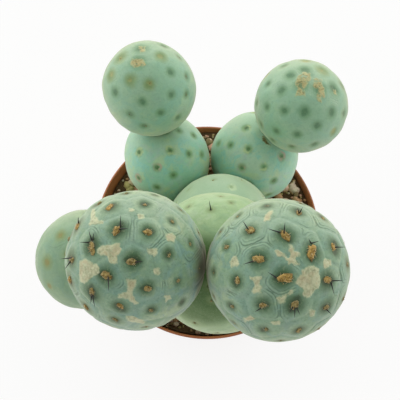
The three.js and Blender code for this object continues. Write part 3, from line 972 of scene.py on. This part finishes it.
def wool_paint():
    """Areole wool: golden brown where it is fresh, and dull grey-brown where it is old."""
    paint = Paint("areole_wool", roughness=0.95, specular=0.1)
    value = paint.math("MULTIPLY_ADD", paint.noise(1500, 3, 0.7), 0.6, paint.attribute("shade"))
    fresh = paint.ramp(value, [(0.25, "52401f"), (0.45, "a3833f"), (0.7, "d6af62"), (1.0, "eedbae")])
    old = paint.ramp(value, [(0.25, "3f3c26"), (0.5, "7c764c"), (0.75, "a8a274"), (1.0, "c8c296")])
    paint.colour(paint.mix(paint.attribute("fresh"), old, fresh))
    paint.set("Sheen Weight", 0.2)
    paint.bump(paint.noise(2500, 2, 0.7), 0.15, 0.6)
    return paint


def spine_paint():
    paint = Paint("spine", roughness=0.45, specular=0.4)
    along = paint.attribute("along")
    paint.colour(paint.ramp(along, [(0.0, "4a4030"), (0.15, "22231f"), (0.85, "191b1a"), (1.0, "332f28")]))
    return paint


def circle(radius, height, sides, start=0.0):
    """A level ring of points."""
    turns = 2 * math.pi * (np.arange(sides) + start) / sides
    return np.column_stack((radius * np.cos(turns), radius * np.sin(turns), np.full(sides, height)))


def bands(first, sides, rings, downward=False):
    """The faces between rings of points that follow each other, from the point numbered first."""
    faces = []
    for ring in range(rings - 1):
        for k in range(sides):
            a, b = first + ring * sides + k, first + ring * sides + (k + 1) % sides
            faces.append([a, a + sides, b + sides, b] if downward else [a, b, b + sides, a + sides])
    return faces


def fan(hub, first, sides, downward=False):
    """The faces between a ring of points, from the point numbered first, and a hub."""
    pairs = [(first + k, first + (k + 1) % sides) for k in range(sides)]
    return [[b, a, hub] if downward else [a, b, hub] for a, b in pairs]


# A wool cushion's form: sides, rings and how far it reaches below its middle
DOME_SIDES, DOME_RINGS, DOME_BELOW = 10, 4, -0.6


def dome():
    """A closed unit cushion: a dome over the plane z = 0 with a shallow underside."""
    points = [[(0.0, 0.0, 1.0)]]
    for ring in range(1, DOME_RINGS + 1):
        turn = ring / DOME_RINGS * math.pi / 2
        points.append(circle(math.sin(turn), math.cos(turn), DOME_SIDES, 0.5 * (ring % 2)))
    points.append([(0.0, 0.0, DOME_BELOW)])
    faces = fan(0, 1, DOME_SIDES) + bands(1, DOME_SIDES, DOME_RINGS, True)
    hub = 1 + DOME_RINGS * DOME_SIDES
    return np.vstack(points), faces + fan(hub, hub - DOME_SIDES, DOME_SIDES, True)


NEEDLE_TAPER = 0.75


def needle(start, end, bow, radius, sides, rings):
    """A tapered needle from start to end, bowed sideways, with a closed blunt root."""
    ring = circle(radius, 0, sides)[:, :2] @ flat_frame(unit(end - start), ODD_NEEDLE_WAY)
    points, along = [], []
    for share in np.arange(rings) / rings:
        middle = start + (end - start) * share + bow * math.sin(share * math.pi / 2) ** 2
        points.extend(middle + ring * (1 - share) ** NEEDLE_TAPER)
        along.extend([share] * sides)
    hub = len(points)
    points.append(end + bow)
    along.append(1.0)
    faces = [list(range(sides))[::-1]] + bands(0, sides, rings) + fan(hub, hub - sides, sides)
    return points, faces, along


def lathe(profile, sides):
    """A closed body from a profile of (radius, height) that starts and ends on the axis."""
    points = [[(0.0, 0.0, profile[0][1])]]
    points += [circle(radius, height, sides) for radius, height in profile[1:-1]]
    points.append([(0.0, 0.0, profile[-1][1])])
    rings = len(profile) - 2
    hub = 1 + rings * sides
    below, wall, above = fan(0, 1, sides, True), bands(1, sides, rings), fan(hub, hub - sides, sides)
    faces = [face for k in range(sides) for face in (below[k], *wall[k::sides], above[k])]
    return np.vstack(points), faces


class Heap:
    """Gathers the points and faces of many small pieces into one mesh."""

    def __init__(self):
        self.points, self.faces, self.values = [], [], []

    def add(self, points, faces, values):
        base = len(self.points)
        self.points.extend(points)
        self.faces.extend([[base + i for i in face] for face in faces])
        self.values.extend(values)


# The wool cushions: half length, half width and height on a young and on an old areole, and how
# many hairs and how fresh a colour a young one has
WOOL = {
    "weathered": {"young": (2.0, 1.15, 0.7), "old": (0.45, 0.36, 0.22), "hairs": 60, "fresh": 1.0},
    "haloed": {"young": (0.4, 0.35, 0.15), "old": (0.3, 0.27, 0.12), "hairs": 5, "fresh": 0.15},
    "dimpled": {"young": (0.45, 0.38, 0.16), "old": (0.3, 0.27, 0.12), "hairs": 8, "fresh": 0.1},
    "ringed": {"young": (0.5, 0.42, 0.22), "old": (0.4, 0.34, 0.18), "hairs": 8, "fresh": 0.3},
    "pale": {"young": (0.4, 0.35, 0.2), "old": (0.34, 0.3, 0.17), "hairs": 6, "fresh": 0.4},
    "olive": {"young": (0.6, 0.5, 0.3), "old": (0.4, 0.34, 0.2), "hairs": 10, "fresh": 0.6},
}
# A cushion whose length is known: how far its hairs reach as a share of half of that, and what its
# half width is, as a share of its half length and besides, and its height
WOOL_REACH = 0.95
WOOL_WIDTH, WOOL_LEAST_WIDTH, WOOL_HEIGHT = 0.42, 0.33, 0.3
# Between which shares the cushions' sizes and freshness vary, and how much of its freshness and of
# its hairs an old one has lost
WOOL_SIZES = (0.85, 1.15)
WOOL_FRESHNESS = (0.25, 0.95)
OLD_FADE, OLD_BALD = 0.75, 0.7
# The felt under the hairs is smaller than the cushion by this much along its three ways, and lumpy
FELT = (0.85, 0.85, 0.75)
FELT_LUMP = 0.2
FELT_SHADES = (0.05, 0.4)
# Where on the cushion hairs start, their length as a share of its half width, how they spread and
# bow, and their tones
HAIR_SPOTS, HAIR_LIFT, HAIR_ROOT = (0.8, 0.8, 0.5), 0.25, 0.75
HAIR_LENGTHS = (0.25, 0.6)
HAIR_SPREAD, HAIR_BOW = 0.6, 0.2
HAIR_SHADES = (0.1, 0.8)
HAIR_RADIUS = 0.06
# Areoles closer than this to another segment or the soil have no wool or spines
TOUCHING = 1.2


def is_free(name, points, clearance):
    """Whether points of one segment lie clear of the other segments and above the soil."""
    free = np.ones(len(points), bool)
    for other, stem in STEMS.items():
        if other != name:
            free &= outside(stem, points) > clearance
    over_pot = np.hypot(points[:, 0], points[:, 1]) < RIM_RADIUS
    return free & ~(over_pot & (points[:, 2] < soil_height(points[:, 0], points[:, 1]) + clearance))


def soil_height(x, y):
    return SOIL_LEVEL + SOIL_RISE_X * x + SOIL_RISE_Y * y


def make_wool(name, layout, paint):
    """The woolly cushions of a segment's areoles, each lying along its way."""
    stem = STEMS[name]
    look = LOOKS[stem["look"]]
    sizes = WOOL[stem["look"]]
    random = np.random.default_rng(seed_of("wool", name))
    heap, fresh = Heap(), []
    unit_points, unit_faces = dome()
    areoles, ways, lengths = layout["directions"], layout["ways"], layout["lengths"]
    ages = areole_age(stem, areoles)
    roots = globe_points(stem, areoles, -look["pit"])
    free = is_free(name, to_part(stem, roots), TOUCHING)
    for i in np.flatnonzero(free):
        share = ages[i]
        size = np.array(sizes["young"]) * (1 - share) + np.array(sizes["old"]) * share
        size *= random.uniform(*WOOL_SIZES)
        if lengths[i]:
            half = lengths[i] / 2 / WOOL_REACH
            size = np.array([half, WOOL_WIDTH * half + WOOL_LEAST_WIDTH, WOOL_HEIGHT * half])
        freshness = sizes["fresh"] * (1 - OLD_FADE * share) * random.uniform(*WOOL_FRESHNESS)
        basis = np.stack((ways[i], np.cross(areoles[i], ways[i]), areoles[i]))
        lumps = 1 + FELT_LUMP * random.normal(size=(len(unit_points), 1))
        points = to_part(stem, unit_points * lumps * size * FELT @ basis + roots[i])
        heap.add(points, unit_faces, random.uniform(*FELT_SHADES, len(points)))
        for _ in range(int(sizes["hairs"] * (1 - OLD_BALD * share))):
            spot = random.normal(size=3) * HAIR_SPOTS
            spot[2] = abs(spot[2]) + HAIR_LIFT
            spot = unit(spot)
            start = (spot * size * HAIR_ROOT) @ basis + roots[i]
            reach = random.uniform(*HAIR_LENGTHS) * size[1]
            end = start + unit(spot @ basis + HAIR_SPREAD * random.normal(size=3)) * reach
            bow = HAIR_BOW * reach * random.normal(size=3)
            points, faces, along = needle(start, end, bow, HAIR_RADIUS, 3, 3)
            shade = random.uniform(*HAIR_SHADES)
            heap.add(to_part(stem, np.array(points)), faces, [shade] * len(along))
        fresh += [freshness] * (len(heap.points) - len(fresh))
    attributes = {"shade": heap.values, "fresh": fresh}
    return make_piece(name + "_wool", heap.points, heap.faces, paint, attributes)


# Spines that the photograph shows, in its pixels: root and point. The point stands off the skin.
SPINES_SEEN = {
    "stem_top_left": [
        ((120.3, 226), (120.5, 214.7), 2.4), ((120, 229), (128.5, 228.3), 2.2),
        ((91.4, 240), (88.7, 229.5), 2.4), ((92.5, 240), (94.3, 232), 2.0), ((89, 242.4), (79, 242.2), 2.2),
        ((71, 258), (60, 258.9), 2.0), ((70.5, 261), (64.3, 270), 2.4), ((108.3, 277), (108.7, 291.8), 2.6),
        ((92.4, 295), (94.8, 307.7), 2.4), ((91.4, 296), (90.5, 304), 1.8),
        ((78.3, 223), (78.3, 216.5), 1.6), ((136, 262), (144, 261), 1.2),
    ],
    "stem_top_right": [
        ((248, 229), (242.6, 220.6), 2.2), ((280, 232.5), (267.2, 228.3), 2.4),
        ((284, 233), (285.2, 221.4), 2.6), ((299.6, 213), (302.9, 206.8), 2.0),
        ((299.3, 213), (297.4, 208), 1.8), ((335, 247.2), (346, 247), 2.0), ((312, 243), (319.3, 241), 1.8),
        ((332, 280.6), (344.5, 280.8), 2.2), ((331.5, 284), (334.5, 295.3), 2.4),
        ((295, 308), (294.5, 318.3), 2.4), ((297, 308), (300, 315), 1.8), ((293, 307), (289.5, 313), 1.8),
        ((326.7, 309.6), (332, 314.8), 1.8), ((276, 277.5), (267.4, 271.6), 2.0),
        ((252, 261.5), (242.5, 264.6), 1.6), ((260, 309), (254.5, 311.9), 1.4),
        ((311, 243), (308.5, 238.5), 1.6),
    ],
    "stem_middle": [((210.7, 209.5), (209.2, 200), 3.0)],
}
SPINE_RADIUS = 0.24
# How deep a spine's root is, and how far it bows as a share of its length
SPINE_ROOT = 0.9
SPINE_BOW = 0.06
# How many more there are where the camera sees none, how long, and how far their points keep off
SPINES_UNSEEN = {
    "stem_top_left": 16, "stem_top_right": 16, "stem_middle": 6, "stem_side_upper": 6, "stem_base": 4,
}
SPINE_LENGTHS = (2.8, 5.2)
SPINE_CLEARANCE = 0.8
# How far they lean down the segment, and to either side
SPINE_LEANS, SPINE_SIDE = (0.6, 1.5), 0.6


def make_spines(name, areoles, paint):
    """The spines: those that the photograph shows, then some by rule on what it hides."""
    stem = STEMS[name]
    random = np.random.default_rng(seed_of("spines", name))
    heap = Heap()

    def add(root, tip):
        start = root - unit(tip - root) * SPINE_ROOT
        bow = SPINE_BOW * np.linalg.norm(tip - root) * random.normal(size=3)
        heap.add(*needle(start, tip - bow, bow, SPINE_RADIUS, 6, 6))

    for root_pixel, tip_pixel, height in SPINES_SEEN.get(name, ()):
        root = pixel_on_globe(stem, root_pixel)
        tip = pixel_on_globe(stem, tip_pixel, height)
        if tip is None:
            ray = pixel_ray(tip_pixel)
            tip = CAMERA_PLACE + ray * ((root - CAMERA_PLACE) @ ray)
        add(root, tip)
    ways = meridian(areoles) @ stem_turn(stem).T
    roots = to_part(stem, globe_points(stem, areoles))
    normals = areoles @ stem_turn(stem).T
    hidden = is_hidden(roots)
    free = is_free(name, roots, TOUCHING)
    left = SPINES_UNSEEN.get(name, 0)
    for i in range(len(areoles)):
        if left == 0 or not (hidden[i] and free[i]):
            continue
        for _ in range(1 + (i % 2)):
            lean = -ways[i] * random.uniform(*SPINE_LEANS)
            lean += np.cross(normals[i], ways[i]) * random.normal() * SPINE_SIDE
            tip = roots[i] + unit(normals[i] + lean) * random.uniform(*SPINE_LENGTHS)
            if left > 0 and is_free(name, tip[None], SPINE_CLEARANCE)[0] and is_hidden(tip[None])[0]:
                add(roots[i], tip)
                left -= 1
    if heap.points:
        make_piece(name + "_spines", heap.points, heap.faces, paint, {"along": heap.values})


def inner_radius(z):
    """The radius of the pot's inner wall at a height."""
    if z > COLLAR_BOTTOM:
        share = (z - COLLAR_BOTTOM) / COLLAR_HEIGHT
        return COLLAR_BOTTOM_RADIUS + (RIM_RADIUS - COLLAR_BOTTOM_RADIUS) * share - POT_WALL
    return BASE_RADIUS + (NECK_RADIUS - BASE_RADIUS) * z / COLLAR_BOTTOM - POT_WALL


def arc(centre, radius, start, end, steps):
    """Profile points along an arc, angles in degrees."""
    angles = np.radians(np.linspace(start, end, steps))
    return [(centre[0] + radius * math.cos(a), centre[1] + radius * math.sin(a)) for a in angles]


# The pot's wall above the soil is painted paler and more orange on its inside, just under the rim:
# painted light. How much, and where, in metres
INNER_LIGHT = 0.4
INNER_LIGHT_RADII = (0.0415, 0.0422)
INNER_LIGHT_HEIGHTS = (0.069, 0.0705)


def pot_paint():
    paint = Paint("pot_plastic", roughness=0.42, specular=0.4)
    tone = paint.noise(60, 4, 0.6)
    base = paint.ramp(tone, [(0.35, "88522e"), (0.5, "9a5a32"), (0.65, "a8643a")])
    dust = paint.span(paint.noise(160, 5, 0.65), 0.5, 0.85, 0, 0.35)
    base = paint.mix(dust, base, "967a58")
    axes = paint.axes(paint.place())
    radius = paint.math("ADD", *[paint.times(axes[axis], axes[axis]) for axis in ("X", "Y")])
    radius = paint.math("POWER", radius, 0.5)
    # Painted light: the inner wall just under the rim is painted paler and more orange
    inner_light = paint.times(paint.span(radius, *INNER_LIGHT_RADII, INNER_LIGHT, 0), paint.span(axes["Z"], *INNER_LIGHT_HEIGHTS))
    base = paint.mix(inner_light, base, "d88c60")
    paint.colour(base)
    paint.set("Subsurface Weight", 0.15)
    paint.set("Subsurface Radius", (1.0, 0.45, 0.25))
    paint.set("Subsurface Scale", 0.0015)
    paint.bump(paint.noise(900, 3, 0.6), 0.05, 0.4)
    return paint


# The pot's corner under its collar: radius, and height from the collar's bottom
UNDER_COLLAR = [
    (NECK_RADIUS - 0.25, -1.5), (NECK_RADIUS, -0.3), (NECK_RADIUS + 0.3, 0),
    (COLLAR_BOTTOM_RADIUS - 0.25, 0.45), (COLLAR_BOTTOM_RADIUS, 0.8),
]
# The rounding of its foot, the sides of a drain hole, and the angle from which an edge is sharp
FOOT_ROUND = 0.8
DRAIN_SIDES = 32
SHARP_EDGE = 50


def make_pot():
    inner_step = COLLAR_BOTTOM + COLLAR_STEP + POT_WALL / 2
    lip = LIP_THICKNESS / 2
    profile = [(0, 0)]
    profile += arc((BASE_RADIUS - FOOT_ROUND, FOOT_ROUND), FOOT_ROUND, -90, -10, 6)
    profile += [(radius, COLLAR_BOTTOM + rise) for radius, rise in UNDER_COLLAR]
    profile += arc((RIM_RADIUS - POT_WALL + lip, POT_HEIGHT - lip), lip, 0, 180, 9)
    profile += [(inner_radius(z), z) for z in (inner_step, COLLAR_BOTTOM, FLOOR_THICKNESS + 1)]
    profile += [(inner_radius(FLOOR_THICKNESS) - 0.8, FLOOR_THICKNESS), (0, FLOOR_THICKNESS)]
    points, faces = lathe(profile, POT_SIDES)
    pot = make_piece("pot_shell", points, faces, pot_paint())
    depth = 4 * FLOOR_THICKNESS * METRE
    for place in circle(DRAIN_CIRCLE, 0, DRAIN_HOLES) * METRE:
        bpy.ops.mesh.primitive_cylinder_add(
            vertices=DRAIN_SIDES, radius=DRAIN_RADIUS * METRE, depth=depth, location=place
        )
        drill = bpy.context.object
        cut = pot.modifiers.new("drain", "BOOLEAN")
        cut.operation, cut.object, cut.solver = "DIFFERENCE", drill, "EXACT"
        bpy.context.view_layer.objects.active = pot
        bpy.ops.object.modifier_apply(modifier="drain")
        bpy.data.objects.remove(drill)
    split = pot.modifiers.new("edges", "EDGE_SPLIT")
    split.split_angle = math.radians(SHARP_EDGE)
    bpy.ops.object.modifier_apply(modifier="edges")
    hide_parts("pot")


# The soil's stones: size range in millimetres, how many, and how deep they sit
STONES = [
    {"sizes": (1.0, 2.1), "count": 800, "sink": 0.0, "detail": 2},
    {"sizes": (0.4, 0.8), "count": 1500, "sink": 0.3, "detail": 1},
]
# Their colours, each from its kind on a scale from 0 to 1
STONE_COLOURS = [
    (0.0, "5c4830"), (0.1, "c4a878"), (0.24, "d8c49c"), (0.36, "dccab0"), (0.46, "c49c74"),
    (0.56, "e0c4a8"), (0.66, "d4a68c"), (0.75, "e2d4b8"), (0.84, "b8b070"), (0.93, "8c7c58"),
]
# The bare soil between the stones: its kind on that scale, how far below them it is and how uneven
BARE_KIND = 0.05
BARE_SOIL = 0.8
SOIL_LUMP, SOIL_LUMP_SIZE = 0.35, 5
SOIL_SIDES = 72
SOIL_SEEDS = {"body": 7, "stones": 41}
# Between which shares a stone's three half sizes vary, how lumpy it is, and its kinds and leans
STONE_SHAPES = ([0.8, 0.65, 0.55], [1.2, 1.0, 0.85])
STONE_LUMP = 0.16
STONE_KINDS = (0.1, 1)
STONE_LEANS = (-0.6, 0.6)
# How far a stone lies from its place on a spiral, by its turn, sideways and up or down, and how many
# of its sizes it keeps off the wall
STONE_TURNS, STONE_ASIDE, STONE_RISE = (-0.2, 0.2), (-0.5, 0.5), (-0.6, 0.3)
OFF_WALL = 1.05
# The soil is painted darker under the front segments (painted shade), from the first of these Y to the
# second
SOIL_SHADE_Y = (-26, -34)


def soil_paint():
    paint = Paint("gritty_soil", roughness=0.9, specular=0.2)
    kind = paint.attribute("kind")
    base = paint.ramp(kind, STONE_COLOURS, "CONSTANT")
    grain = paint.span(paint.noise(1600, 4, 0.65), 0.4, 0.8, 0, 0.45)
    base = paint.mix(grain, base, "94795a")
    # Painted shade: the soil is painted darker under the front segments
    base = paint.mix(paint.math("MULTIPLY", paint.attribute("soil_shade"), 0.5), base, "4a3a26")
    paint.colour(base)
    paint.bump(paint.noise(2200, 4, 0.7), 0.2, 0.7)
    return paint


def soil_body():
    """The soil under its stones, with a top that lies a little below theirs."""
    edge = inner_radius(SOIL_LEVEL) - SOIL_EDGE_GAP
    bottom = FLOOR_THICKNESS + SOIL_EDGE_GAP
    profile = [(0, bottom), (inner_radius(FLOOR_THICKNESS) - 1, bottom)]
    profile += [(inner_radius(COLLAR_BOTTOM) - SOIL_EDGE_GAP, COLLAR_BOTTOM + SOIL_EDGE_GAP)]
    profile += [(edge - 0.6, SOIL_LEVEL - 3), (edge, SOIL_LEVEL)]
    profile += [(radius, SOIL_LEVEL) for radius in np.linspace(edge - 1.5, 3, 24)]
    profile += [(0, SOIL_LEVEL)]
    points, faces = lathe(profile, SOIL_SIDES)
    top = points[:, 2] > SOIL_LEVEL - 0.01
    level = soil_height(points[top, 0], points[top, 1]) - BARE_SOIL
    points[top, 2] = level + SOIL_LUMP * waves(points[top], SOIL_SEEDS["body"], SOIL_LUMP_SIZE)
    rim = top & (np.hypot(points[:, 0], points[:, 1]) > edge - 0.01)
    for i in np.flatnonzero(rim):
        points[i, :2] *= (inner_radius(points[i, 2]) - SOIL_EDGE_GAP) / edge
    return points, faces


def turned(points, turn, lean):
    """Points turned about Z after a lean about X."""
    spin = np.array([[math.cos(turn), -math.sin(turn), 0], [math.sin(turn), math.cos(turn), 0], [0, 0, 1]])
    tilt = np.array([[1, 0, 0], [0, math.cos(lean), -math.sin(lean)], [0, math.sin(lean), math.cos(lean)]])
    return points @ (spin @ tilt).T


def make_soil():
    """The soil's body with a top of loose stones and grit."""
    random = np.random.default_rng(SOIL_SEEDS["stones"])
    edge = inner_radius(SOIL_LEVEL) - SOIL_EDGE_GAP
    points, faces = soil_body()
    heap = Heap()
    heap.add(points, faces, [BARE_KIND] * len(points))
    for layer in STONES:
        unit_points, unit_faces = icosphere(layer["detail"])
        for i in range(layer["count"]):
            reach = (edge - layer["sizes"][1]) * math.sqrt((i + 0.5) / layer["count"])
            turn = i * GOLDEN_ANGLE + random.uniform(*STONE_TURNS)
            size = random.uniform(*layer["sizes"])
            x = reach * math.cos(turn) + random.uniform(*STONE_ASIDE)
            y = reach * math.sin(turn) + random.uniform(*STONE_ASIDE)
            z = soil_height(x, y) - layer["sink"] * size + random.uniform(*STONE_RISE)
            inside = min(1, (inner_radius(z) - OFF_WALL * size) / math.hypot(x, y))
            place = np.array([x * inside, y * inside, z])
            if outside(STEMS["stem_base"], place[None])[0] < -size:
                continue
            scale = size * random.uniform(*STONE_SHAPES)
            rough = 1 + STONE_LUMP * waves(unit_points * 2.2, int(random.integers(1e6)), 2.4, 4)
            stone = unit_points * rough[:, None] * scale
            stone = turned(stone, random.uniform(0, 2 * math.pi), random.uniform(*STONE_LEANS)) + place
            heap.add(stone, unit_faces, [random.uniform(*STONE_KINDS)] * len(stone))
    rows = np.array(heap.points)[:, 1]
    # How deep each point lies in the painted shade under the front segments
    attributes = {"kind": heap.values, "soil_shade": np.clip((rows - SOIL_SHADE_Y[0]) / (SOIL_SHADE_Y[1] - SOIL_SHADE_Y[0]), 0, 1)}
    soil = make_piece("soil_and_stones", heap.points, heap.faces, soil_paint(), attributes)
    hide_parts("soil")


# The floor is as pale as the photograph's. It doesn't light the plant: the tent does, from below too.
FLOOR_GLOW = 0.845


def make_stage():
    bpy.ops.mesh.primitive_plane_add(size=6, location=(0, 0, 0))
    floor = bpy.context.object
    floor.name = "floor"
    floor.visible_diffuse = False
    paint = Paint("floor_paper", roughness=0.8, specular=0.0)
    paint.colour(paint.ramp(paint.noise(3, 2), [(0.3, "6c6c6a"), (0.7, "70706f")]))
    paint.set("Emission Color", (1, 1, 1, 1))
    paint.set("Emission Strength", FLOOR_GLOW)
    floor.data.materials.append(paint.material)


# A light tent: bright all round the horizon, more so at the back, and dark overhead. The light from
# a direction is TENT_GLOW plus the direction's product with TENT_SLOPE, within TENT_RANGE.
TENT_GLOW = 1.85
TENT_SLOPE = (-0.07, 0.85, -1.45)
TENT_RANGE = (0.3, 2.8)
# Under the floor it turns to this, all the way below this height of the direction
UNDER_GLOW = 0.8
HORIZON = -0.3


def make_lights():
    world = bpy.data.worlds.new("light_tent")
    nodes = Nodes(world)
    background = nodes.tree.nodes["Background"]
    background.inputs["Color"].default_value = (1, 1, 1, 1)
    way = nodes.node("ShaderNodeTexCoord").outputs["Generated"]
    slope = nodes.node("ShaderNodeVectorMath", operation="DOT_PRODUCT")
    slope.inputs[1].default_value = TENT_SLOPE
    nodes.link(way, slope.inputs[0])
    glow = nodes.math("ADD", slope.outputs["Value"], TENT_GLOW)
    glow = nodes.math("MAXIMUM", glow, TENT_RANGE[0])
    glow = nodes.math("MINIMUM", glow, TENT_RANGE[1])
    above = nodes.span(nodes.axes(way)["Z"], HORIZON, 0, 0, 1, "LINEAR")
    glow = nodes.math("MULTIPLY_ADD", above, nodes.math("SUBTRACT", glow, UNDER_GLOW), UNDER_GLOW)
    nodes.link(glow, background.inputs["Strength"])
    bpy.context.scene.world = world


def make_camera():
    data = bpy.data.cameras.new("camera")
    data.sensor_width = SENSOR
    data.lens = SENSOR * FOCAL_PIXELS / FRAME_PIXELS
    data.clip_start = 0.01
    camera = bpy.data.objects.new("camera", data)
    camera.location = CAMERA_PLACE * METRE
    camera.rotation_euler = (math.radians(90 - CAMERA_PITCH), 0, 0)
    bpy.context.scene.collection.objects.link(camera)
    bpy.context.scene.camera = camera


def make_plant():
    skins = {look: SkinPaint(look) for look in SKINS}
    wool = wool_paint()
    spine = spine_paint()
    for name, stem in STEMS.items():
        layout = make_skin(name, skins[stem["look"]])
        make_wool(name, layout, wool)
        make_spines(name, layout["directions"], spine)


make_camera()
make_stage()
make_lights()
bpy.context.scene.view_settings.view_transform = "Standard"
make_pot()
make_soil()
make_plant()
